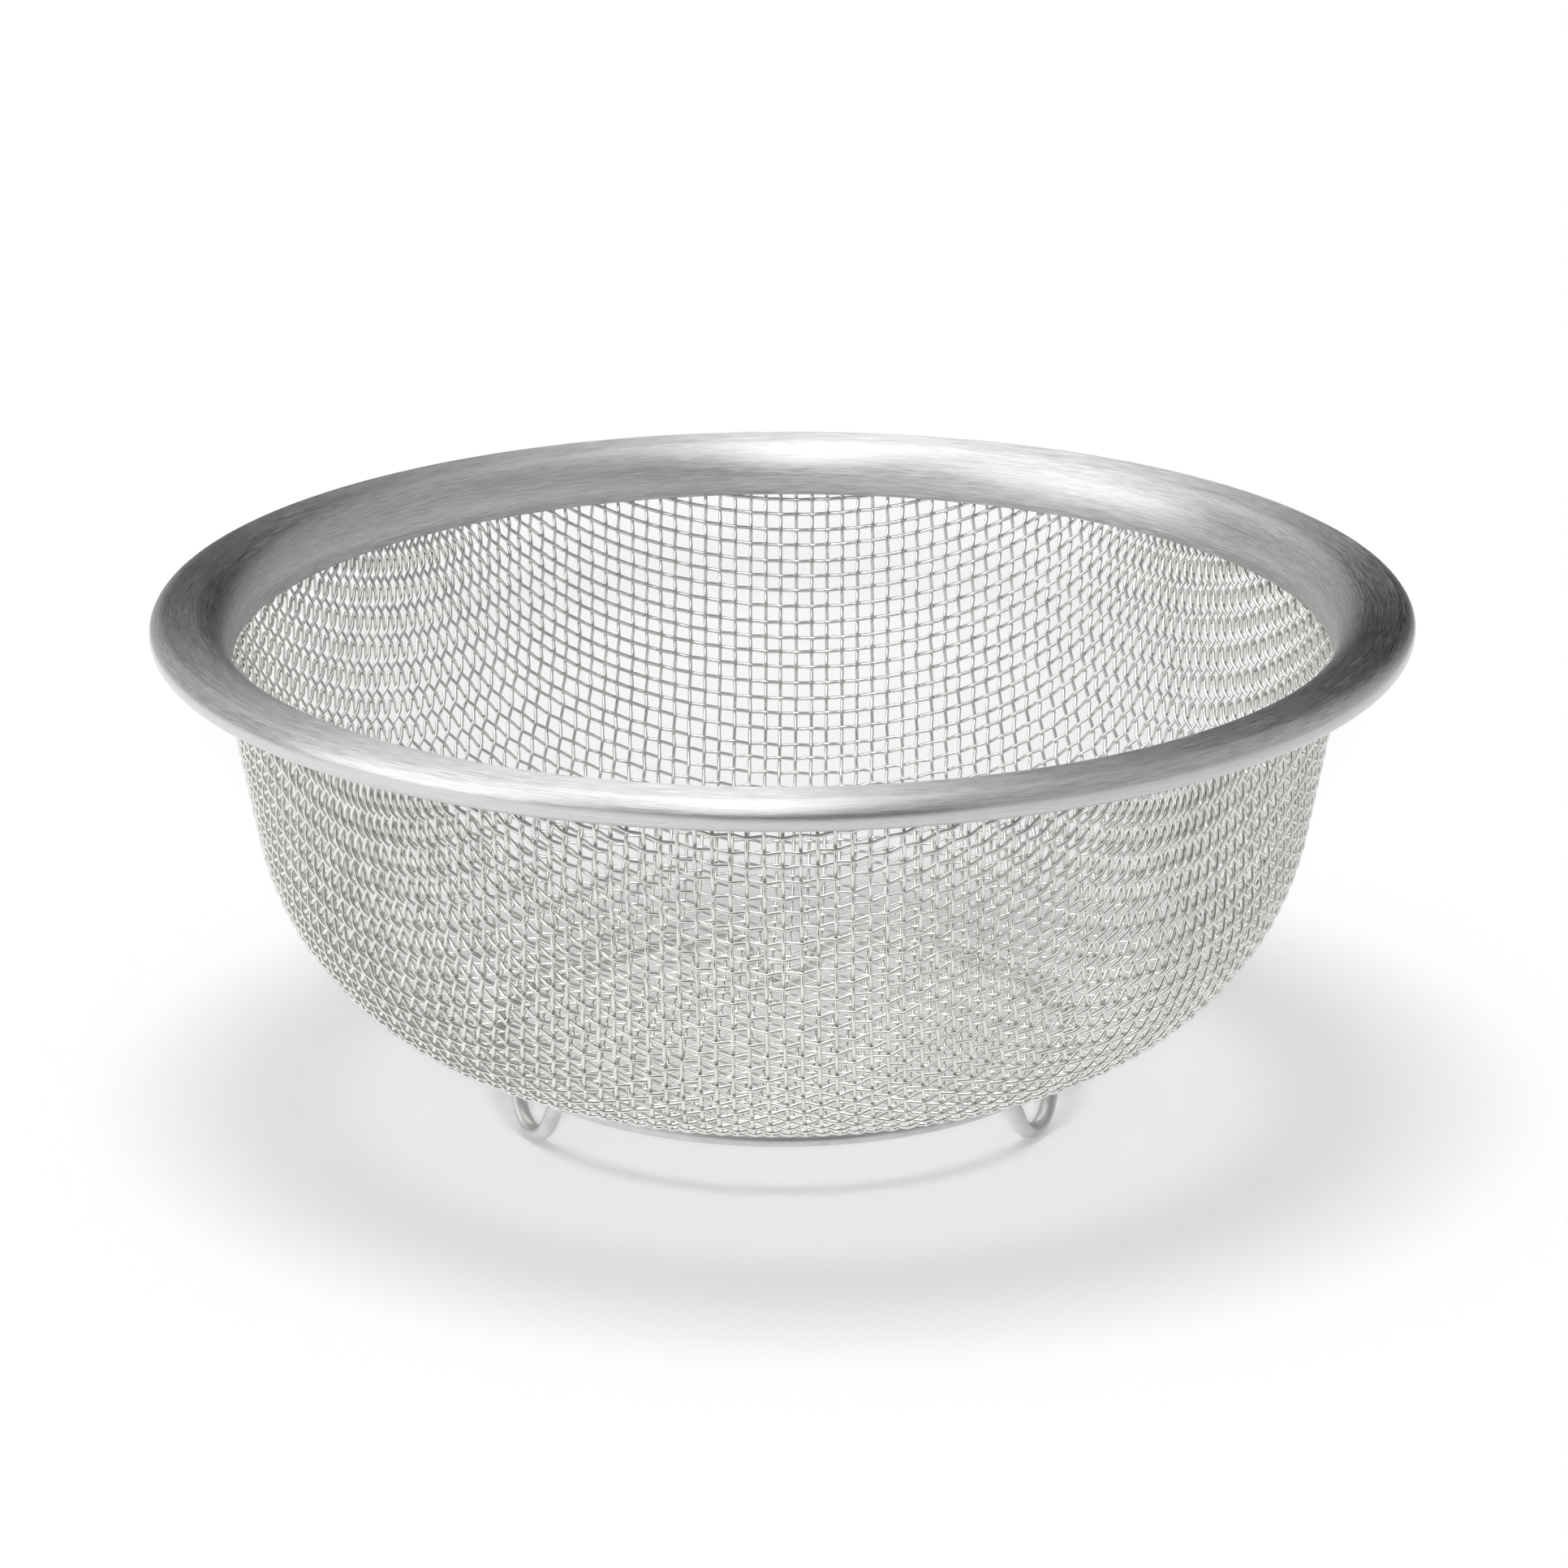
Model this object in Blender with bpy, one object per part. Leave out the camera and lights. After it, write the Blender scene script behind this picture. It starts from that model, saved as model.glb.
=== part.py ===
"""Basket strainer: a bowl of woven wire cloth in a folded sheet rim, on a ring of bent wire with three feet.

Run it with blender --background --python part.py, or from Blender's text editor.
The strainer stands on its feet at the world origin. +Z is up, Z = 0 is the surface that it stands on,
the bowl's axis is the Z axis, and the front is towards -Y. Lengths are in metres.
"""

import math

import bmesh
import bpy
from mathutils import Vector

MM = 0.001

# Rim: one ring of sheet, folded into a skirt, a round shoulder, a brim, a curled edge and a return.
RIM_RADIUS = 97.5 * MM
RIM_TOP = 80.0 * MM
SHEET = 0.45 * MM
SHOULDER_CENTRE = 90.6 * MM
SHOULDER_RADIUS = 5.0 * MM
CURL_RADIUS = 2.45 * MM
RETURN_END = 88.2 * MM
SKIRT_BOTTOM = 72.2 * MM

# Bowl: one blank of wire cloth, two crossing wires thick, with its edge trapped under the brim.
CLOTH = 1.0 * MM
HEM = 2.0 * MM
WALL_LEAN = math.radians(10.8)
WALL_LENGTH = 31.0 * MM
CORNER_RADIUS = 43.3 * MM
CORNER_END = math.radians(84.5)

# Foot ring: one round wire, bent down into a U at each foot and closed into a ring.
WIRE_RADIUS = 1.25 * MM
RING_RADIUS = 44.9 * MM
RING_HEIGHT = 8.4 * MM
FOOT_ANGLES = (60, 180, 300)
FOOT_BEND = 5.5 * MM
FOOT_SHOULDER = 4.0 * MM
FOOT_SWEEP = math.radians(60)

# Clearance between neighbours, and the fineness of the facets.
GAP = 0.3 * MM
TURN_STEPS = 72
SHOULDER_STEPS = 5
CURL_STEPS = 8
CORNER_STEPS = 9
BASE_STEPS = 3
FOOT_BEND_STEPS = 9
FOOT_SHOULDER_STEPS = 4
SPAN_STEPS = 14
WIRE_SIDES = 12


def clear_scene():
    for obj in list(bpy.data.objects):
        bpy.data.objects.remove(obj, do_unlink=True)


def steel(name, colour, roughness):
    """A metal finish on a Principled shader."""
    material = bpy.data.materials.new(name)
    material.use_nodes = True
    shader = material.node_tree.nodes["Principled BSDF"]
    shader.inputs["Base Color"].default_value = (*colour, 1.0)
    shader.inputs["Metallic"].default_value = 1.0
    shader.inputs["Roughness"].default_value = roughness
    material.diffuse_color = (*colour, 1.0)
    return material


def arc(centre, radius, start, end, steps):
    """Points (r, z) along an arc. Angles are measured from the outward direction, upwards."""
    points = []
    for i in range(steps + 1):
        angle = start + (end - start) * i / steps
        points.append((centre[0] + radius * math.cos(angle), centre[1] + radius * math.sin(angle)))
    return points


def shoulder_centre():
    return (SHOULDER_CENTRE, RIM_TOP - SHOULDER_RADIUS)


def rim_path():
    """The middle of the rim's sheet, from the skirt's lower edge up, out, round the curl and back in."""
    path = arc(
        shoulder_centre(),
        SHOULDER_RADIUS - SHEET / 2,
        math.pi - WALL_LEAN,
        math.pi / 2,
        SHOULDER_STEPS,
    )
    skirt_top_r, skirt_top_z = path[0]
    skirt_drop = skirt_top_z - SKIRT_BOTTOM
    path.insert(0, (skirt_top_r - skirt_drop * math.tan(WALL_LEAN), SKIRT_BOTTOM))
    curl_centre = (RIM_RADIUS - CURL_RADIUS, RIM_TOP - CURL_RADIUS)
    path += arc(curl_centre, CURL_RADIUS - SHEET / 2, math.pi / 2, -math.pi / 2, CURL_STEPS)
    path.append((RETURN_END, path[-1][1]))
    return path


def cloth_path():
    """The middle of the cloth, from its edge under the brim down the wall and in to the axis."""
    path = arc(
        shoulder_centre(),
        SHOULDER_RADIUS - SHEET - GAP - CLOTH / 2,
        math.pi / 2,
        math.pi - WALL_LEAN,
        SHOULDER_STEPS,
    )
    path.insert(0, (SHOULDER_CENTRE + HEM, path[0][1]))
    wall_end_r = path[-1][0] - WALL_LENGTH * math.sin(WALL_LEAN)
    wall_end_z = path[-1][1] - WALL_LENGTH * math.cos(WALL_LEAN)
    corner_centre = (
        wall_end_r - CORNER_RADIUS * math.cos(WALL_LEAN),
        wall_end_z + CORNER_RADIUS * math.sin(WALL_LEAN),
    )
    path += arc(corner_centre, CORNER_RADIUS, -WALL_LEAN, -CORNER_END, CORNER_STEPS)
    base_r, base_z = path[-1]
    base_radius = base_r / math.cos(CORNER_END)
    base_centre = (0.0, base_z + base_radius * math.sin(CORNER_END))
    base = arc(base_centre, base_radius, -CORNER_END, -math.pi / 2, BASE_STEPS)
    path += base[1:-1]
    path.append((0.0, base_centre[1] - base_radius))
    return path


def revolved_sheet(name, path, thickness, material):
    """A sheet turned about the Z axis from the path of its middle surface, then thickened."""
    mesh = bpy.data.meshes.new(name)
    points = [(r, 0.0, z) for r, z in path]
    mesh.from_pydata(points, [(i, i + 1) for i in range(len(points) - 1)], [])
    obj = bpy.data.objects.new(name, mesh)
    bpy.context.scene.collection.objects.link(obj)
    turn = obj.modifiers.new("Turn", "SCREW")
    turn.axis = "Z"
    turn.angle = math.tau
    turn.steps = TURN_STEPS
    turn.render_steps = TURN_STEPS
    turn.use_smooth_shade = True
    turn.use_merge_vertices = True
    turn.merge_threshold = 0.00001
    thicken = obj.modifiers.new("Thicken", "SOLIDIFY")
    thicken.thickness = thickness
    thicken.offset = 0.0
    thicken.use_even_offset = True
    mesh.materials.append(material)
    return obj


def foot_path():
    """One foot's centre line as (distance along the ring from the foot's middle, height)."""
    bend_step = 2 * FOOT_SWEEP / FOOT_BEND_STEPS
    # The lowest stretch is one level chord, which lies on the ground.
    ground = WIRE_RADIUS - FOOT_BEND * (1 - math.cos(bend_step / 2))
    turned = 1 - math.cos(FOOT_SWEEP)
    leg = (RING_HEIGHT - ground - (FOOT_BEND + FOOT_SHOULDER) * turned) / math.sin(FOOT_SWEEP)
    half_width = (FOOT_BEND + FOOT_SHOULDER) * math.sin(FOOT_SWEEP) + leg * math.cos(FOOT_SWEEP)
    bend = []
    for i in range(FOOT_BEND_STEPS + 1):
        angle = i * bend_step - FOOT_SWEEP
        bend.append((FOOT_BEND * math.sin(angle), ground + FOOT_BEND * (1 - math.cos(angle))))
    rising = []
    for i in range(FOOT_SHOULDER_STEPS + 1):
        angle = FOOT_SWEEP * (1 - i / FOOT_SHOULDER_STEPS)
        along = half_width - FOOT_SHOULDER * math.sin(angle)
        rising.append((along, RING_HEIGHT - FOOT_SHOULDER * (1 - math.cos(angle))))
    falling = [(-along, height) for along, height in reversed(rising)]
    return falling + bend + rising


def ring_path():
    """The wire's closed centre line as (angle about Z in radians from the front, height)."""
    foot = foot_path()
    half_foot = foot[-1][0] / RING_RADIUS
    span = math.tau / len(FOOT_ANGLES) - 2 * half_foot
    path = []
    for degrees in FOOT_ANGLES:
        middle = math.radians(degrees)
        path += [(middle + along / RING_RADIUS, height) for along, height in foot]
        for i in range(1, SPAN_STEPS):
            path.append((middle + half_foot + span * i / SPAN_STEPS, RING_HEIGHT))
    return path


def ring_point(angle, height):
    """A point on the ring's cylinder, and the outward direction there."""
    outward = Vector((math.sin(angle), -math.cos(angle), 0.0))
    return outward * RING_RADIUS + Vector((0.0, 0.0, height)), outward


def wire_section(before, point, after, outward):
    """The corners of the wire's section where two straight stretches meet, mitred between them."""
    arriving = (point - before).normalized()
    leaving = (after - point).normalized()
    along = (arriving + leaving).normalized()
    across = along.cross(outward).normalized()
    mitre = 1 / along.dot(leaving)
    corner_radius = WIRE_RADIUS / math.cos(math.pi / WIRE_SIDES)
    corners = []
    for i in range(WIRE_SIDES):
        angle = math.tau * (i + 0.5) / WIRE_SIDES
        offset = outward * math.cos(angle) + across * (math.sin(angle) * mitre)
        corners.append(point + offset * corner_radius)
    return corners


def foot_ring(material):
    """The wire swept round its closed path, with a flat side down so that each foot has a level contact."""
    path = [ring_point(angle, height) for angle, height in ring_path()]
    mesh = bpy.data.meshes.new("foot_ring")
    work = bmesh.new()
    sections = []
    for i, (point, outward) in enumerate(path):
        before = path[i - 1][0]
        after = path[(i + 1) % len(path)][0]
        sections.append([work.verts.new(c) for c in wire_section(before, point, after, outward)])
    for i, near in enumerate(sections):
        far = sections[(i + 1) % len(sections)]
        for j in range(WIRE_SIDES):
            k = (j + 1) % WIRE_SIDES
            work.faces.new((near[j], near[k], far[k], far[j]))
    bmesh.ops.recalc_face_normals(work, faces=work.faces)
    work.to_mesh(mesh)
    work.free()
    mesh.shade_smooth()
    mesh.materials.append(material)
    obj = bpy.data.objects.new("foot_ring", mesh)
    bpy.context.scene.collection.objects.link(obj)
    return obj


def build():
    clear_scene()
    strainer = bpy.data.objects.new("strainer", None)
    bpy.context.scene.collection.objects.link(strainer)
    sub_parts = (
        revolved_sheet("rim_band", rim_path(), SHEET, steel("rim_steel", (0.62, 0.62, 0.61), 0.3)),
        revolved_sheet("mesh_bowl", cloth_path(), CLOTH, steel("cloth_steel", (0.7, 0.7, 0.69), 0.25)),
        foot_ring(steel("foot_steel", (0.68, 0.68, 0.67), 0.2)),
    )
    for obj in sub_parts:
        obj.parent = strainer


build()
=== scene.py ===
"""Basket strainer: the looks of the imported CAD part.

The rim, the cloth and the foot ring are rebuilt here in finer detail on the CAD's own dimensions.
The cloth is woven one wire at a time. Lengths are in metres, the strainer stands on Z = 0, the
bowl's axis is the Z axis and the front is towards -Y.
"""

import math

import bpy
import numpy as np
from mathutils import Matrix, Vector

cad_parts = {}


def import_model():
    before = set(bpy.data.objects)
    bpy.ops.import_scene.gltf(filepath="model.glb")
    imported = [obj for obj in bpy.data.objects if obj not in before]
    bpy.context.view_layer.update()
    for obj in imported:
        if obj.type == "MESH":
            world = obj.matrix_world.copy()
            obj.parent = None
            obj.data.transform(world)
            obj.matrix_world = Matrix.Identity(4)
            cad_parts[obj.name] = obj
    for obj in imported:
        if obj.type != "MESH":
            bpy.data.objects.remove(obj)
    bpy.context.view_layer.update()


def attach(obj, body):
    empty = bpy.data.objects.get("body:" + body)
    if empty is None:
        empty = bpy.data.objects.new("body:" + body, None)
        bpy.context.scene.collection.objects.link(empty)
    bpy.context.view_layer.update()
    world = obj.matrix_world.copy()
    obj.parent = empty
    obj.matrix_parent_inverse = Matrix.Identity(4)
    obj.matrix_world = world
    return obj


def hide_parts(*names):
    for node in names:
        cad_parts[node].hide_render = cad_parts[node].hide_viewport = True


MM = 0.001

# Rim, as in the CAD.
RIM_RADIUS = 97.5 * MM
RIM_TOP = 80.0 * MM
SHEET = 0.45 * MM
SHOULDER_CENTRE = 90.6 * MM
SHOULDER_RADIUS = 5.0 * MM
CURL_RADIUS = 2.45 * MM
RETURN_END = 88.2 * MM
SKIRT_BOTTOM = 72.2 * MM
RIM_STEPS = 288
SHOULDER_STEPS = 16
CURL_STEPS = 20

# Where the rim's brushing fades out and a painted shade darkens it, in metres round the sheet from the
# skirt's foot.
CURL_EDGE = (17.7 * MM, 18.7 * MM)

# Cloth: the middle surface is the CAD shell's, and the wires weave about it. WIRE is a wire's radius.
# NET_START is the first crossing's place, and NET_TURN turns the whole net about the axis.
CLOTH = 1.0 * MM
GAP = 0.3 * MM
HEM = 2.0 * MM
WALL_LEAN = math.radians(10.8)
WALL_LENGTH = 31.0 * MM
CORNER_RADIUS = 43.3 * MM
CORNER_END = math.radians(84.5)
WIRE = 0.30 * MM
PITCH = 2.5435 * MM
NET_TURN = math.radians(-1.7)
NET_START = (-0.12 * MM, -0.02 * MM)
UNEVEN = 0.06 * MM
UNEVEN_SEED = 7
UNEVEN_SPAN = 9
RINGS_PER_PITCH = 4
WIRE_SIDES = 8
STRIPS = 4

# Foot ring. FOOT_WIRE is the wire's radius.
FOOT_WIRE = 1.25 * MM
RING_RADIUS = 44.9 * MM
RING_HEIGHT = 8.53 * MM
FOOT_ANGLES = (60, 180, 300)
FOOT_BEND = 5.5 * MM
FOOT_SHOULDER = 4.0 * MM
FOOT_SWEEP = math.radians(60)
FOOT_SIDES = 24
FOOT_BEND_STEPS = 32
FOOT_SHOULDER_STEPS = 12
SPAN_STEPS = 60

# Camera.
AIM = Vector((0.0, 0.0, 0.040))
DISTANCE = 1.1684
ELEVATION = math.radians(19.063)
ROLL = math.radians(-0.22)
LENS = 171.9
SHIFT = (0.0005, 0.0396)

# Light: how bright the floor is under each of its two lights alone, and how much of the sky lights it.
FLOOR_TONE = 0.86
OVERHEAD = 0.34
FILL = 0.21
FLOOR_AMBIENT = 0.56


def link(obj):
    bpy.context.scene.collection.objects.link(obj)
    return obj


def mesh_object(name, points, faces, material, uv=None):
    """A smooth-shaded mesh object from arrays of points and quads.

    uv holds one pair for each face corner."""
    mesh = bpy.data.meshes.new(name)
    mesh.vertices.add(len(points))
    mesh.vertices.foreach_set("co", np.asarray(points, np.float32).ravel())
    faces = np.asarray(faces, np.int32)
    mesh.loops.add(faces.size)
    mesh.loops.foreach_set("vertex_index", faces.ravel())
    mesh.polygons.add(len(faces))
    starts = np.arange(0, faces.size, faces.shape[1], dtype=np.int32)
    mesh.polygons.foreach_set("loop_start", starts)
    mesh.polygons.foreach_set("use_smooth", np.ones(len(faces), bool))
    if uv is not None:
        layer = mesh.uv_layers.new(name="UVMap")
        layer.data.foreach_set("uv", np.asarray(uv, np.float32).ravel())
    mesh.update(calc_edges=True)
    mesh.validate()
    mesh.materials.append(material)
    return link(bpy.data.objects.new(name, mesh))


# ---------------------------------------------------------------- surface of the bowl


def cloth_pieces():
    """The cloth's middle surface in section, from the axis out, as arcs and straights.

    Each piece is (length, start r, start z, start heading, curvature). Heading is the angle of travel
    above the outward horizontal, and curvature is its rate of change with length."""
    shoulder = SHOULDER_RADIUS - SHEET - GAP - CLOTH / 2
    neck_top = (SHOULDER_CENTRE, RIM_TOP - SHOULDER_RADIUS + shoulder)
    neck_low = (
        SHOULDER_CENTRE - shoulder * math.cos(WALL_LEAN),
        RIM_TOP - SHOULDER_RADIUS + shoulder * math.sin(WALL_LEAN),
    )
    wall_low = (
        neck_low[0] - WALL_LENGTH * math.sin(WALL_LEAN),
        neck_low[1] - WALL_LENGTH * math.cos(WALL_LEAN),
    )
    corner = (
        wall_low[0] - CORNER_RADIUS * math.cos(WALL_LEAN),
        wall_low[1] + CORNER_RADIUS * math.sin(WALL_LEAN),
    )
    low_heading = math.pi / 2 - CORNER_END
    wall_heading = math.pi / 2 - WALL_LEAN
    base_out = (
        corner[0] + CORNER_RADIUS * math.cos(CORNER_END),
        corner[1] - CORNER_RADIUS * math.sin(CORNER_END),
    )
    base_radius = base_out[0] / math.sin(low_heading)
    base_low = base_out[1] - base_radius * (1 - math.cos(low_heading))
    return (
        (base_radius * low_heading, 0.0, base_low, 0.0, 1 / base_radius),
        (CORNER_RADIUS * (wall_heading - low_heading), *base_out, low_heading, 1 / CORNER_RADIUS),
        (WALL_LENGTH, *wall_low, wall_heading, 0.0),
        (shoulder * wall_heading, *neck_low, wall_heading, -1 / shoulder),
        (50 * MM, *neck_top, 0.0, 0.0),
    )


PIECES = cloth_pieces()
CLOTH_EDGE = sum(piece[0] for piece in PIECES[:4]) + HEM


def section(s):
    """(r, z, heading) of the middle surface at distance s from the axis, for an array of s."""
    r = np.zeros_like(s)
    z = np.zeros_like(s)
    heading = np.zeros_like(s)
    start = 0.0
    for length, r0, z0, h0, bend in PIECES:
        here = s >= start
        t = s[here] - start
        h = h0 + bend * t
        heading[here] = h
        if bend:
            r[here] = r0 + (np.sin(h) - math.sin(h0)) / bend
            z[here] = z0 - (np.cos(h) - math.cos(h0)) / bend
        else:
            r[here] = r0 + t * math.cos(h0)
            z[here] = z0 + t * math.sin(h0)
        start += length
    return r, z, heading


def surface(flat):
    """Points, outward normals, and the derivatives of the point, for flat map points (x, y).

    The map keeps the direction from the axis, and the distance from it along the surface."""
    s = np.maximum(np.hypot(flat[:, 0], flat[:, 1]), 1e-9)
    c = flat[:, 0] / s
    d = flat[:, 1] / s
    r, z, heading = section(s)
    point = np.stack([r * c, r * d, z], 1)
    ch = np.cos(heading)
    sh = np.sin(heading)
    along = np.stack([ch * c, ch * d, sh], 1)
    round_ = np.stack([-d, c, np.zeros_like(c)], 1) * (r / s)[:, None]
    normal = np.stack([sh * c, sh * d, -ch], 1)
    dx = along * c[:, None] - round_ * d[:, None]
    dy = along * d[:, None] + round_ * c[:, None]
    return point, normal, dx, dy


# ---------------------------------------------------------------- the net of crossings


def axis_nodes(direction, count):
    """Crossings along one of the two first wires, each one pitch from the last."""
    nodes = [np.array(NET_START)]
    for _ in range(count):
        step = PITCH
        here = surface(nodes[-1][None])[0][0]
        for _ in range(12):
            there = nodes[-1] + np.array(direction) * step
            gap = np.linalg.norm(surface(there[None])[0][0] - here)
            step *= PITCH / gap
        nodes.append(nodes[-1] + np.array(direction) * step)
    return np.array(nodes)


def meet(a, b, guess):
    """Map points that are one pitch from both a and b, which are arrays of 3D points.

    They are found from the guess by Newton steps."""
    flat = guess.copy()
    for _ in range(25):
        point, _, dx, dy = surface(flat)
        fa = point - a
        fb = point - b
        ra = (fa * fa).sum(1) - PITCH**2
        rb = (fb * fb).sum(1) - PITCH**2
        j11 = 2 * (fa * dx).sum(1)
        j12 = 2 * (fa * dy).sum(1)
        j21 = 2 * (fb * dx).sum(1)
        j22 = 2 * (fb * dy).sum(1)
        det = j11 * j22 - j12 * j21
        det = np.where(np.abs(det) < 1e-14, 1e-14, det)
        step = np.stack([(j22 * ra - j12 * rb) / det, (j11 * rb - j21 * ra) / det], 1)
        size = np.linalg.norm(step, axis=1, keepdims=True)
        step *= np.minimum(1.0, 0.4 * PITCH / np.maximum(size, 1e-12))
        flat -= step
    return flat


def quadrant(sx, sy, count):
    """Crossings (i, j) for i, j = 0..count in one quadrant, as flat map points.

    They are NaN past the cloth's edge."""
    limit = CLOTH_EDGE + 2 * PITCH
    net = np.full((count + 1, count + 1, 2), np.nan)
    net[:, 0] = axis_nodes((sx, 0.0), count)
    net[0, :] = axis_nodes((0.0, sy), count)
    for n in range(2, 2 * count + 1):
        i = np.arange(max(1, n - count), min(count, n - 1) + 1)
        j = n - i
        a, b, c = net[i - 1, j], net[i, j - 1], net[i - 1, j - 1]
        good = ~np.isnan(a[:, 0]) & ~np.isnan(b[:, 0])
        good &= np.hypot(a[:, 0], a[:, 1]) < limit
        good &= np.hypot(b[:, 0], b[:, 1]) < limit
        if not good.any():
            break
        i, j, a, b, c = i[good], j[good], a[good], b[good], c[good]
        net[i, j] = meet(surface(a)[0], surface(b)[0], a + b - c)
    return net


def whole_net():
    """All crossings, as an array indexed by (i + count, j + count)."""
    count = int(CLOTH_EDGE / PITCH) + 4
    net = np.full((2 * count + 1, 2 * count + 1, 2), np.nan)
    for sx in (1, -1):
        for sy in (1, -1):
            part = quadrant(sx, sy, count)
            i = count + sx * np.arange(count + 1)
            j = count + sy * np.arange(count + 1)
            net[np.ix_(i, j)] = part
    return loosened(net), count


def loosened(net):
    """The net with each wire a little out of its even place, by an amount that drifts along it."""
    chance = np.random.default_rng(UNEVEN_SEED)
    n = len(net)
    for side in (0, 1):
        knots = chance.normal(0.0, UNEVEN, (n, n // UNEVEN_SPAN + 2))
        at = np.arange(n) / UNEVEN_SPAN
        k = at.astype(int)
        f = (1 - np.cos(np.pi * (at - k))) / 2
        drift = knots[:, k] * (1 - f) + knots[:, k + 1] * f + chance.normal(0.0, UNEVEN, (n, 1))
        if side == 0:
            net[:, :, 0] += drift
        else:
            net[:, :, 1] += drift.T
    return net


def spline(values):
    """Second derivatives of a natural cubic spline through equally spaced values."""
    n = len(values)
    if n < 3:
        return np.zeros_like(values)
    matrix = np.eye(n) * 4
    matrix += np.diag(np.ones(n - 1), 1) + np.diag(np.ones(n - 1), -1)
    matrix[0] = 0
    matrix[-1] = 0
    matrix[0, 0] = 1
    matrix[-1, -1] = 1
    right = np.zeros_like(values)
    right[1:-1] = 6 * (values[2:] - 2 * values[1:-1] + values[:-2])
    return np.linalg.solve(matrix, right)


def on_spline(values, second, t):
    """The spline's values at t, counted in spaces between the given values."""
    k = np.clip(t.astype(int), 0, len(values) - 2)
    f = (t - k)[:, None]
    g = 1 - f
    low = values[k] * g + values[k + 1] * f
    return low + ((g**3 - g) * second[k] + (f**3 - f) * second[k + 1]) / 6


def wire_line(nodes, first, side):
    """The centre line and normals of one wire that weaves through its crossings, cut at the cloth's edge.

    first is the first crossing's number, and side is +1 where an even crossing is on the outside."""
    second = spline(nodes)
    t = np.arange(0, (len(nodes) - 1) * RINGS_PER_PITCH + 1) / RINGS_PER_PITCH
    flat = on_spline(nodes, second, t)
    s = np.hypot(flat[:, 0], flat[:, 1])
    inside = s <= CLOTH_EDGE
    if inside.sum() < 2:
        return None
    keep = np.flatnonzero(inside)
    lo, hi = keep[0], keep[-1]
    ends = []
    for k, m in ((lo, lo - 1), (hi, hi + 1)):
        if 0 <= m < len(t):
            f = (CLOTH_EDGE - s[k]) / (s[m] - s[k])
            ends.append(t[k] + (t[m] - t[k]) * f)
        else:
            ends.append(None)
    t = t[lo : hi + 1]
    if ends[0] is not None and t[0] - ends[0] > 0.02:
        t = np.concatenate([[ends[0]], t])
    if ends[1] is not None and ends[1] - t[-1] > 0.02:
        t = np.concatenate([t, [ends[1]]])
    if len(t) < 3:
        return None
    point, normal, _, _ = surface(on_spline(nodes, second, t))
    wave = side * np.cos(np.pi * (t + first))
    return point + normal * (WIRE * wave)[:, None], normal


def tube(line, normal, radius, sides):
    """Rings of points round a centre line, and the quads between them.

    Each end is capped by three quads, which takes 8 sides."""
    tangent = np.gradient(line, axis=0)
    tangent /= np.linalg.norm(tangent, axis=1, keepdims=True)
    across = np.cross(tangent, normal)
    across /= np.linalg.norm(across, axis=1, keepdims=True)
    up = np.cross(across, tangent)
    angle = np.arange(sides) * 2 * np.pi / sides
    ring = across[:, None] * np.cos(angle)[None, :, None]
    ring = ring + up[:, None] * np.sin(angle)[None, :, None]
    points = (line[:, None] + ring * radius).reshape(-1, 3)
    n = len(line)
    a = (np.arange(n - 1) * sides)[:, None] + np.arange(sides)[None]
    b = (np.arange(n - 1) * sides)[:, None] + (np.arange(sides)[None] + 1) % sides
    quads = np.stack([a, a + sides, b + sides, b], 2).reshape(-1, 4)
    cap = np.array([(0, 1, 2, 3), (0, 3, 4, 7), (4, 5, 6, 7)])
    return points, np.concatenate([quads, cap, cap[:, ::-1] + (n - 1) * sides])


def cloth_wires():
    """All wires as (family, centre line, normals). Families 0 and 1 cross each other."""
    net, count = whole_net()
    c = math.cos(NET_TURN)
    s = math.sin(NET_TURN)
    turn = np.array([[c, -s], [s, c]])
    wires = []
    for family in (0, 1):
        for w in range(2 * count + 1):
            nodes = net[w] if family == 0 else net[:, w]
            good = np.flatnonzero(~np.isnan(nodes[:, 0]))
            if len(good) < 4:
                continue
            nodes = nodes[good[0] : good[-1] + 1] @ turn.T
            side = -1 if (w + family) % 2 == 0 else 1
            found = wire_line(nodes, good[0], side)
            if found is not None:
                wires.append((family, *found))
    return wires


def build_cloth(material):
    """The wires of each direction in strips of neighbouring wires, each strip one object."""
    wires = cloth_wires()
    made = []
    for family, name in ((0, "warp"), (1, "weft")):
        mine = [w for w in wires if w[0] == family]
        total = sum(len(w[1]) for w in mine)
        groups = [[] for _ in range(STRIPS)]
        done = 0
        for w in mine:
            groups[min(STRIPS - 1, done * STRIPS // total)].append(w)
            done += len(w[1])
        for k, group in enumerate(groups):
            points, quads = [], []
            base = 0
            for _, line, normal in group:
                p, q = tube(line, normal, WIRE, WIRE_SIDES)
                points.append(p)
                quads.append(q + base)
                base += len(p)
            points = np.concatenate(points)
            quads = np.concatenate(quads)
            made.append(mesh_object(f"cloth_{name}_{k + 1}", points, quads, material))
    return made


# ---------------------------------------------------------------- rim and foot ring


def arc(centre, radius, start, end, steps):
    """Points (r, z) along an arc. Angles are measured from the outward direction, upwards."""
    a = np.linspace(start, end, steps + 1)
    return [(centre[0] + radius * math.cos(x), centre[1] + radius * math.sin(x)) for x in a]


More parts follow.
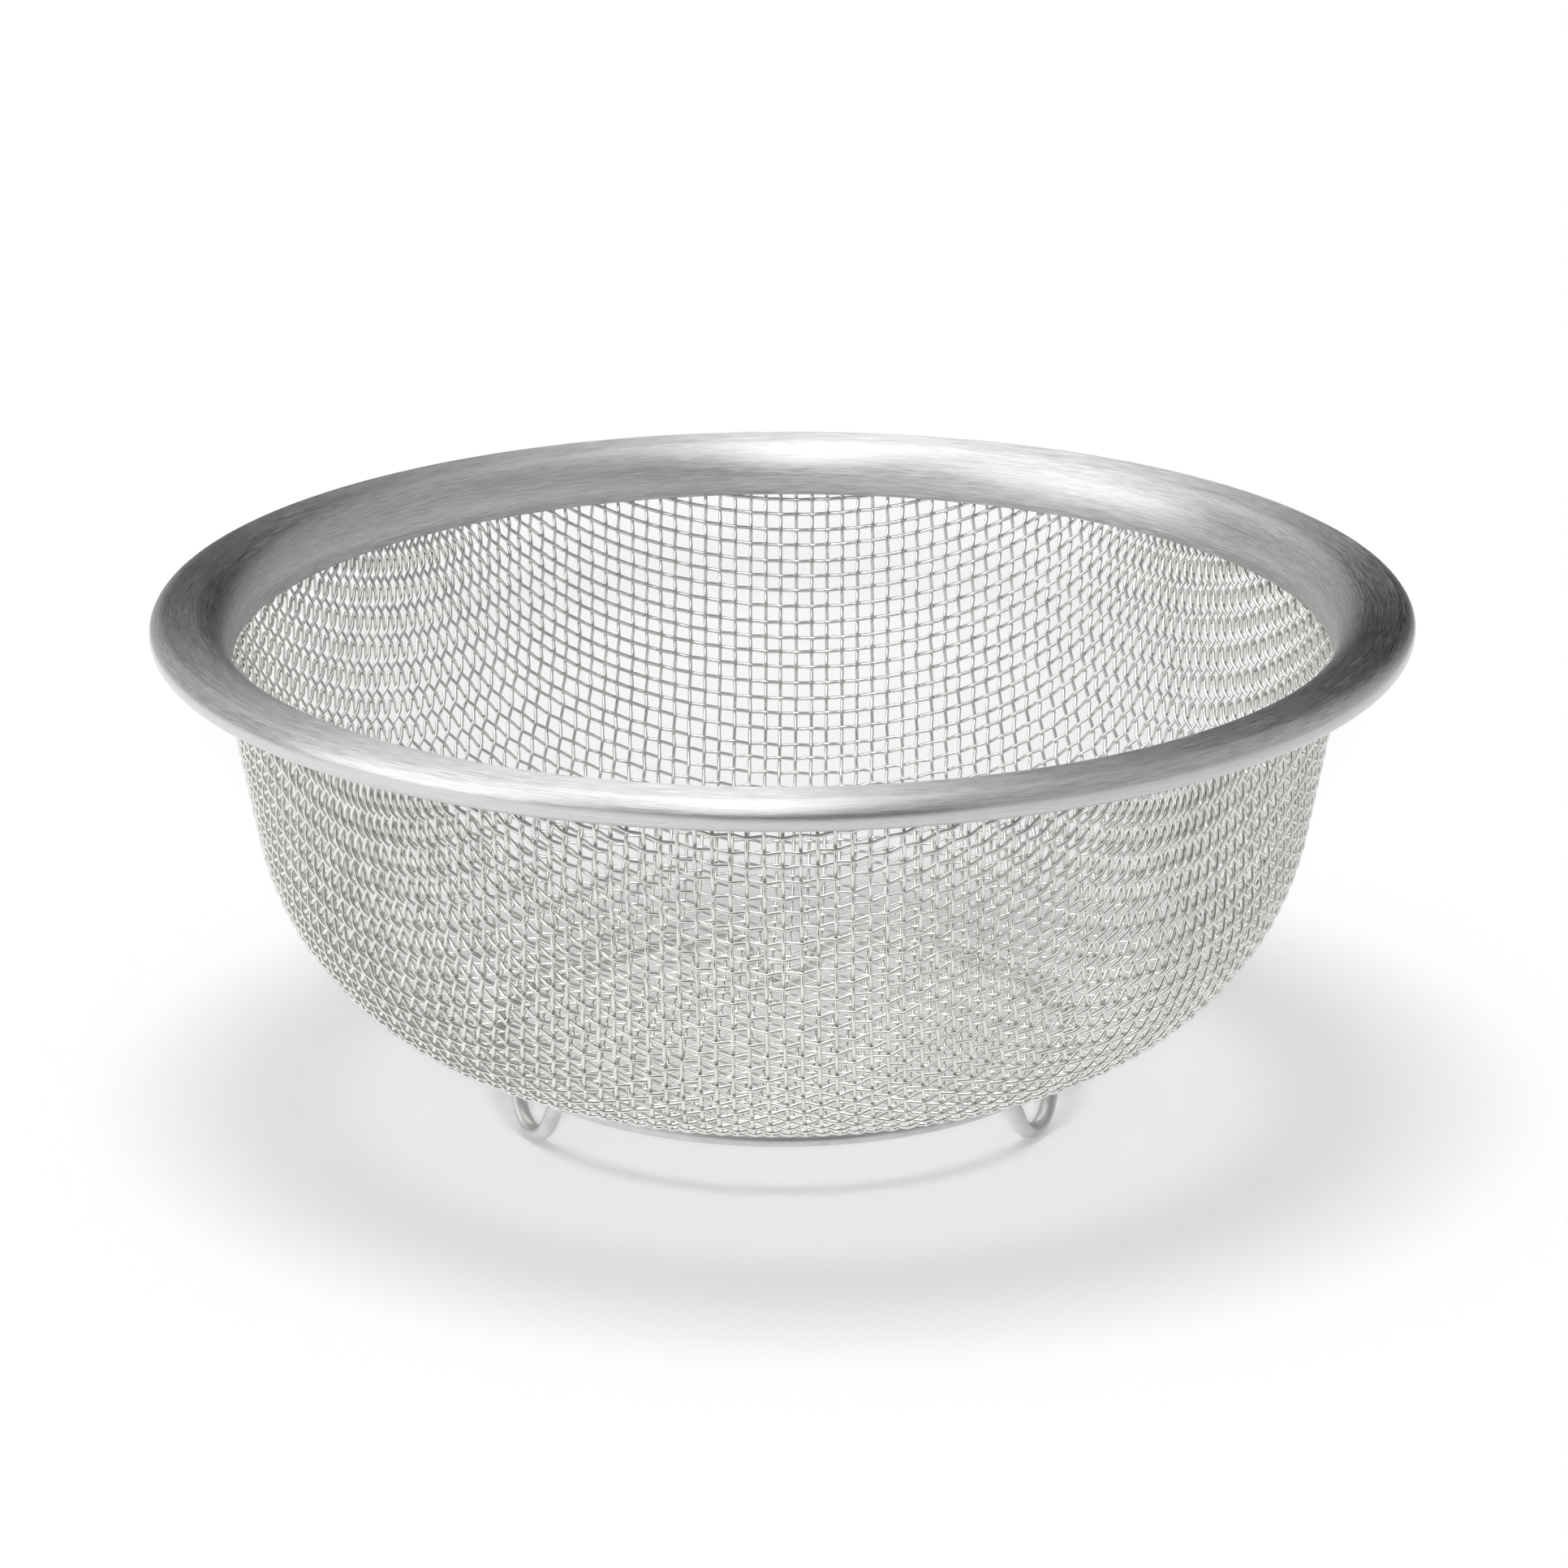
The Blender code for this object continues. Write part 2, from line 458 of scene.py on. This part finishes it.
def rim_loop():
    """The sheet's closed outline in section, going round its two faces."""
    shoulder = (SHOULDER_CENTRE, RIM_TOP - SHOULDER_RADIUS)
    curl = (RIM_RADIUS - CURL_RADIUS, RIM_TOP - CURL_RADIUS)

    def side(offset):
        """The line at a distance offset from the shoulder's outer face, skirt foot first."""
        radius = SHOULDER_RADIUS - offset
        path = arc(shoulder, radius, math.pi - WALL_LEAN, math.pi / 2, SHOULDER_STEPS)
        drop = path[0][1] - SKIRT_BOTTOM
        path.insert(0, (path[0][0] - drop * math.tan(WALL_LEAN), SKIRT_BOTTOM))
        path += arc(curl, CURL_RADIUS - offset, math.pi / 2, -math.pi / 2, CURL_STEPS)
        path.append((RETURN_END, path[-1][1]))
        return path

    outer = side(0.0)
    inner = side(SHEET)
    return outer + inner[::-1]


def revolve(name, loop, steps, material):
    """The closed loop of (r, z) points turned about the axis.

    Its UV is the share of the turn, and the metres round the loop."""
    loop = np.array(loop)
    n = len(loop)
    angle = np.arange(steps) * 2 * np.pi / steps
    points = np.stack(
        [
            loop[None, :, 0] * np.cos(angle)[:, None],
            loop[None, :, 0] * np.sin(angle)[:, None],
            np.broadcast_to(loop[None, :, 1], (steps, n)),
        ],
        2,
    ).reshape(-1, 3)
    quads, uv = grid(steps, n, np.linalg.norm(np.roll(loop, -1, axis=0) - loop, axis=1))
    return mesh_object(name, points, quads, material, uv)


def grid(rows, sides, widths):
    """Quads of a grid of points that closes both ways, and their UV.

    The UV is the row's share of the rows, and the metres across, which widths gives for each column."""
    i = np.arange(rows)[:, None]
    j = np.arange(sides)[None]
    a = i * sides + j
    b = i * sides + (j + 1) % sides
    c = ((i + 1) % rows) * sides + (j + 1) % sides
    d = ((i + 1) % rows) * sides + j
    quads = np.stack([a, b, c, d], 2).reshape(-1, 4)
    low = np.broadcast_to(i / rows, a.shape)
    high = np.broadcast_to((i + 1) / rows, a.shape)
    after = np.cumsum(widths)
    near = np.broadcast_to(after - widths, a.shape)
    far = np.broadcast_to(after, a.shape)
    corners = ((low, near), (low, far), (high, far), (high, near))
    return quads, np.stack([np.stack(corner, 2) for corner in corners], 2).reshape(-1, 2)


def foot_line():
    """The foot wire's closed centre line as (angle from the front, height), finely spaced."""
    turned = 1 - math.cos(FOOT_SWEEP)
    leg = (RING_HEIGHT - FOOT_WIRE - (FOOT_BEND + FOOT_SHOULDER) * turned) / math.sin(FOOT_SWEEP)
    half = (FOOT_BEND + FOOT_SHOULDER) * math.sin(FOOT_SWEEP) + leg * math.cos(FOOT_SWEEP)
    bend = [
        (FOOT_BEND * math.sin(a), FOOT_WIRE + FOOT_BEND * (1 - math.cos(a)))
        for a in np.linspace(-FOOT_SWEEP, FOOT_SWEEP, FOOT_BEND_STEPS + 1)
    ]
    rising = [
        (half - FOOT_SHOULDER * math.sin(a), RING_HEIGHT - FOOT_SHOULDER * (1 - math.cos(a)))
        for a in np.linspace(FOOT_SWEEP, 0, FOOT_SHOULDER_STEPS + 1)
    ]
    foot = [(-x, y) for x, y in reversed(rising)] + bend + rising
    span = math.tau / len(FOOT_ANGLES) - 2 * half / RING_RADIUS
    path = []
    for degrees in FOOT_ANGLES:
        middle = math.radians(degrees)
        path += [(middle + x / RING_RADIUS, y) for x, y in foot]
        for i in range(1, SPAN_STEPS):
            path.append((middle + half / RING_RADIUS + span * i / SPAN_STEPS, RING_HEIGHT))
    return path


def build_foot(material):
    """The foot wire swept round its closed centre line."""
    path = foot_line()
    line = np.array([(RING_RADIUS * math.sin(a), -RING_RADIUS * math.cos(a), h) for a, h in path])
    outward = line * (1, 1, 0)
    outward /= np.linalg.norm(outward, axis=1, keepdims=True)
    ahead = np.roll(line, -1, axis=0) - line
    ahead /= np.linalg.norm(ahead, axis=1, keepdims=True)
    tangent = ahead + np.roll(ahead, 1, axis=0)
    tangent /= np.linalg.norm(tangent, axis=1, keepdims=True)
    across = np.cross(tangent, outward)
    across /= np.linalg.norm(across, axis=1, keepdims=True)
    angle = np.arange(FOOT_SIDES) * 2 * np.pi / FOOT_SIDES
    ring = outward[:, None] * np.cos(angle)[None, :, None]
    ring = ring + across[:, None] * np.sin(angle)[None, :, None]
    points = (line[:, None] + ring * FOOT_WIRE).reshape(-1, 3)
    width = 2 * FOOT_WIRE * math.sin(math.pi / FOOT_SIDES)
    quads, uv = grid(len(line), FOOT_SIDES, np.full(FOOT_SIDES, width))
    return mesh_object("foot_wire", points, quads, material, uv)


# ---------------------------------------------------------------- materials


class Graph:
    """Short names for the node sums that the surroundings and the finishes are made of."""

    def __init__(self, tree):
        self.tree = tree
        self.nodes = tree.nodes
        self.links = tree.links

    def put(self, socket, value):
        """Links a node's output to the socket, or sets the socket to a plain value."""
        if isinstance(value, bpy.types.NodeSocket):
            self.links.new(value, socket)
        else:
            socket.default_value = value

    def math(self, operation, *values):
        node = self.nodes.new("ShaderNodeMath")
        node.operation = operation
        for socket, value in zip(node.inputs, values, strict=False):
            self.put(socket, value)
        return node.outputs[0]

    def grey(self, value, tint):
        """A colour that is value times each part of tint."""
        node = self.nodes.new("ShaderNodeCombineColor")
        for k in range(3):
            self.put(node.inputs[k], self.math("MULTIPLY", value, tint[k]))
        return node.outputs[0]

    def noise(self, vector, detail=2.0, roughness=0.5):
        node = self.nodes.new("ShaderNodeTexNoise")
        self.put(node.inputs["Vector"], vector)
        node.inputs["Scale"].default_value = 1.0
        node.inputs["Detail"].default_value = detail
        node.inputs["Roughness"].default_value = roughness
        return node.outputs["Fac"]

    def bump(self, height, distance):
        node = self.nodes.new("ShaderNodeBump")
        node.inputs["Strength"].default_value = 1.0
        node.inputs["Distance"].default_value = distance
        self.put(node.inputs["Height"], height)
        return node.outputs["Normal"]

    def dot(self, vector, direction):
        node = self.nodes.new("ShaderNodeVectorMath")
        node.operation = "DOT_PRODUCT"
        self.put(node.inputs[0], vector)
        self.put(node.inputs[1], direction)
        return node.outputs["Value"]

    def step(self, value, low, high, out_low=0.0, out_high=1.0):
        """A smooth step from out_low, at low and below, to out_high, at high and above."""
        node = self.nodes.new("ShaderNodeMapRange")
        node.interpolation_type = "SMOOTHSTEP"
        self.put(node.inputs["Value"], value)
        node.inputs["From Min"].default_value = low
        node.inputs["From Max"].default_value = high
        node.inputs["To Min"].default_value = out_low
        node.inputs["To Max"].default_value = out_high
        return node.outputs["Result"]


def brushed(name):
    """Spun sheet with fine brush lines round the axis, smoother past the curl's outer edge, where a
    painted shade also darkens its tone.
    """
    material = bpy.data.materials.new(name)
    material.use_nodes = True
    g = Graph(material.node_tree)
    shader = g.nodes["Principled BSDF"]
    shader.inputs["Metallic"].default_value = 1.0
    place = g.nodes.new("ShaderNodeSeparateXYZ")
    g.put(place.inputs[0], g.nodes.new("ShaderNodeTexCoord").outputs["Object"])
    uv = g.nodes.new("ShaderNodeUVMap")
    uv.uv_map = "UVMap"
    line = g.nodes.new("ShaderNodeSeparateXYZ")
    g.put(line.inputs[0], uv.outputs[0])

    def streaks(along, across, offset, detail):
        """Noise with so many streaks to a metre, lengthwise and from line to line."""
        node = g.nodes.new("ShaderNodeCombineXYZ")
        g.put(node.inputs[0], g.math("MULTIPLY", place.outputs[0], along))
        g.put(node.inputs[1], g.math("MULTIPLY", place.outputs[1], along))
        g.put(node.inputs[2], g.math("MULTIPLY_ADD", line.outputs[1], across, offset))
        return g.noise(node.outputs[0], detail)

    dashes = streaks(300, 8500, 0.0, 1.0)
    lines = streaks(90, 7500, 31.0, 1.0)
    cuts = g.step(streaks(110, 6000, 77.0, 0.0), 0.7, 0.76)
    brushing = g.step(line.outputs[1], *CURL_EDGE, 1.0, 0.25)
    worn = g.math("MULTIPLY_ADD", dashes, 0.6, g.math("MULTIPLY_ADD", lines, 0.4, -0.5))
    worn = g.math("MULTIPLY", worn, brushing)
    cuts = g.math("MULTIPLY", cuts, brushing)
    tone = g.math("MULTIPLY_ADD", cuts, 0.12, g.step(worn, -0.13, 0.13, 0.57, 0.82))
    # Painted shade: the tone drops to 0.91 past the curl's outer edge, dimming the reflection under the
    # curl.
    tone = g.math("MULTIPLY", tone, g.step(line.outputs[1], *CURL_EDGE, 1.0, 0.91))
    g.put(shader.inputs["Base Color"], g.grey(tone, (1.0, 0.997, 0.99)))
    rough = g.math("MULTIPLY_ADD", cuts, 0.1, g.step(worn, -0.15, 0.15, 0.37, 0.47))
    rough = g.math("MULTIPLY", rough, g.step(line.outputs[1], *CURL_EDGE, 1.0, 0.62))
    g.put(shader.inputs["Roughness"], rough)
    height = g.math("MULTIPLY_ADD", cuts, -0.8, worn)
    g.put(shader.inputs["Normal"], g.bump(height, 1e-5))
    shader.inputs["Anisotropic"].default_value = 0.89
    shader.inputs["Anisotropic Rotation"].default_value = 0.25
    tangent = g.nodes.new("ShaderNodeTangent")
    tangent.direction_type = "RADIAL"
    tangent.axis = "Z"
    g.put(shader.inputs["Tangent"], tangent.outputs["Tangent"])
    return material


def drawn(name, tones, tint, roughness, relief, shade_near_ground):
    """Drawn wire: patches of slightly different tone and polish, and fine pits and die marks.

    tones and roughness are lowest and highest values, and relief is the height of the pits. The last
    argument multiplies the tone near the ground, as a painted shade over the wire's lowest 2.6 mm."""
    material = bpy.data.materials.new(name)
    material.use_nodes = True
    g = Graph(material.node_tree)
    shader = g.nodes["Principled BSDF"]
    shader.inputs["Metallic"].default_value = 1.0
    place = g.nodes.new("ShaderNodeTexCoord").outputs["Object"]

    def scaled(rate):
        node = g.nodes.new("ShaderNodeVectorMath")
        node.operation = "SCALE"
        g.put(node.inputs[0], place)
        node.inputs["Scale"].default_value = rate
        return node.outputs[0]

    patches = g.noise(scaled(260.0), 2.0)
    grain = g.noise(scaled(2600.0), 2.0, 0.6)
    split = g.nodes.new("ShaderNodeSeparateXYZ")
    g.put(split.inputs[0], place)
    # Painted shade: the tone is multiplied down towards the ground, over the wire's lowest 2.6 mm.
    painted_low_shade = g.step(split.outputs["Z"], 0.0, 2.6 * MM, shade_near_ground, 1.0)
    tone = g.math("MULTIPLY", g.step(patches, 0.3, 0.7, *tones), painted_low_shade)
    g.put(shader.inputs["Base Color"], g.grey(tone, tint))
    g.put(shader.inputs["Roughness"], g.step(grain, 0.3, 0.7, *roughness))
    g.put(shader.inputs["Normal"], g.bump(grain, relief))
    return material


# ---------------------------------------------------------------- studio


def camera():
    data = bpy.data.cameras.new("camera")
    data.sensor_width = 36.0
    data.lens = LENS
    data.shift_x, data.shift_y = SHIFT
    data.clip_start = 0.01
    data.clip_end = 20
    obj = link(bpy.data.objects.new("camera", data))
    back = Vector((0.0, -math.cos(ELEVATION), math.sin(ELEVATION)))
    turn = (-back).to_track_quat("-Z", "Y").to_matrix().to_4x4() @ Matrix.Rotation(ROLL, 4, "Z")
    obj.matrix_world = Matrix.Translation(AIM + back * DISTANCE) @ turn
    bpy.context.scene.camera = obj


def towards(azimuth, elevation):
    """A direction, by its azimuth from the front (-Y) round to +X and its elevation, in degrees."""
    a = math.radians(azimuth)
    e = math.radians(elevation)
    return (math.cos(e) * math.sin(a), -math.cos(e) * math.cos(a), math.sin(e))


def world():
    """Surroundings as the metal reflects them.

    They are a dim room, a long softbox overhead, a panel on the left, a pale floor below, and dark
    stands in front and behind. The camera sees plain white, and an even sky lights the floor."""
    world = bpy.data.worlds.new("studio")
    bpy.context.scene.world = world
    world.use_nodes = True
    world.cycles.sampling_method = "NONE"
    g = Graph(world.node_tree)
    g.nodes.clear()
    way = g.nodes.new("ShaderNodeTexCoord").outputs["Generated"]
    split = g.nodes.new("ShaderNodeSeparateXYZ")
    g.put(split.inputs[0], way)
    x, z = split.outputs["X"], split.outputs["Z"]

    def patch(azimuth, elevation, radius, soft, low, high):
        edge = math.cos(math.radians(radius))
        core = math.cos(math.radians(radius * soft))
        return g.step(g.dot(way, towards(azimuth, elevation)), edge, core, low, high)

    across = g.math("DIVIDE", g.math("ADD", x, 0.08), 0.23)
    strip = g.math("EXPONENT", g.math("MULTIPLY", g.math("MULTIPLY", across, across), -1.0))
    strip = g.math("MULTIPLY", strip, g.step(z, 0.3, 0.6, 0.0, 1.95))
    room = g.math("ADD", g.math("ADD", strip, 0.43), patch(289, 32, 36.7, 0.4, 0.0, 1.62))
    ground = g.math("MULTIPLY_ADD", x, -0.17, 0.99)
    low = g.step(z, -0.2, 0.0, 1.0, 0.0)
    light = g.math("ADD", room, g.math("MULTIPLY", low, g.math("SUBTRACT", ground, room)))
    light = g.math("MULTIPLY", light, patch(6, 4, 36, 0.45, 1.0, 0.25))
    light = g.math("MULTIPLY", light, patch(168, 20, 30, 0.45, 1.0, 0.03))
    path = g.nodes.new("ShaderNodeLightPath").outputs
    for ray, value in (("Is Camera Ray", 1.0), ("Is Diffuse Ray", FLOOR_AMBIENT)):
        light = g.math("ADD", light, g.math("MULTIPLY", path[ray], g.math("SUBTRACT", value, light)))
    cool = g.math("MULTIPLY", path["Is Glossy Ray"], 0.001)
    shade = g.nodes.new("ShaderNodeCombineColor")
    g.put(shade.inputs[0], g.math("SUBTRACT", light, cool))
    g.put(shade.inputs[1], light)
    g.put(shade.inputs[2], g.math("ADD", light, cool))
    back = g.nodes.new("ShaderNodeBackground")
    g.put(back.inputs["Color"], shade.outputs[0])
    out = g.nodes.new("ShaderNodeOutputWorld")
    g.put(out.inputs["Surface"], back.outputs[0])


def sun(name, way, strength, angle):
    """A distant light on the floor only, from the direction way, as wide across as angle."""
    data = bpy.data.lights.new(name, "SUN")
    data.energy = strength
    data.angle = math.radians(angle)
    lamp = link(bpy.data.objects.new(name, data))
    lamp.rotation_euler = Vector(way).to_track_quat("Z", "Y").to_euler()
    lamp.visible_glossy = False
    lamp.visible_camera = False


def studio():
    """Camera, surroundings, the floor and its two lights. The fill comes from the front."""
    camera()
    world()
    full = math.pi / FLOOR_TONE
    sun("overhead", towards(275, 86), OVERHEAD * full, 30)
    sun("fill", towards(0, math.degrees(ELEVATION)), FILL * full / math.sin(ELEVATION), 10)
    material = bpy.data.materials.new("floor")
    material.use_nodes = True
    shader = material.node_tree.nodes["Principled BSDF"]
    shader.inputs["Base Color"].default_value = (FLOOR_TONE, FLOOR_TONE, FLOOR_TONE, 1)
    shader.inputs["Roughness"].default_value = 0.9
    shader.inputs["Specular IOR Level"].default_value = 0.1
    bpy.ops.mesh.primitive_circle_add(vertices=96, radius=4.0, fill_type="NGON")
    floor = bpy.context.object
    floor.location.z = -0.02 * MM
    floor.name = "floor"
    floor.data.materials.append(material)
    floor.visible_glossy = False
    bpy.context.scene.view_settings.view_transform = "Standard"


# ---------------------------------------------------------------- assembly

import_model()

rim_metal = brushed("rim_steel")
cloth_metal = drawn("cloth_steel", (0.7, 0.82), (1.0, 0.985, 0.962), (0.12, 0.2), 4e-6, 1.0)
# The foot's last argument, 0.72, is a painted shade near the ground; the cloth's 1.0 paints none.
foot_metal = drawn("foot_steel", (0.56, 0.64), (1.0, 0.99, 0.972), (0.4, 0.48), 3e-6, 0.72)

rim = revolve("rim", rim_loop(), RIM_STEPS, rim_metal)
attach(rim, "root")
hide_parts("rim_band")

for strip in build_cloth(cloth_metal):
    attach(strip, "root")
    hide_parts("mesh_bowl")

foot = build_foot(foot_metal)
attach(foot, "root")
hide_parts("foot_ring")

studio()
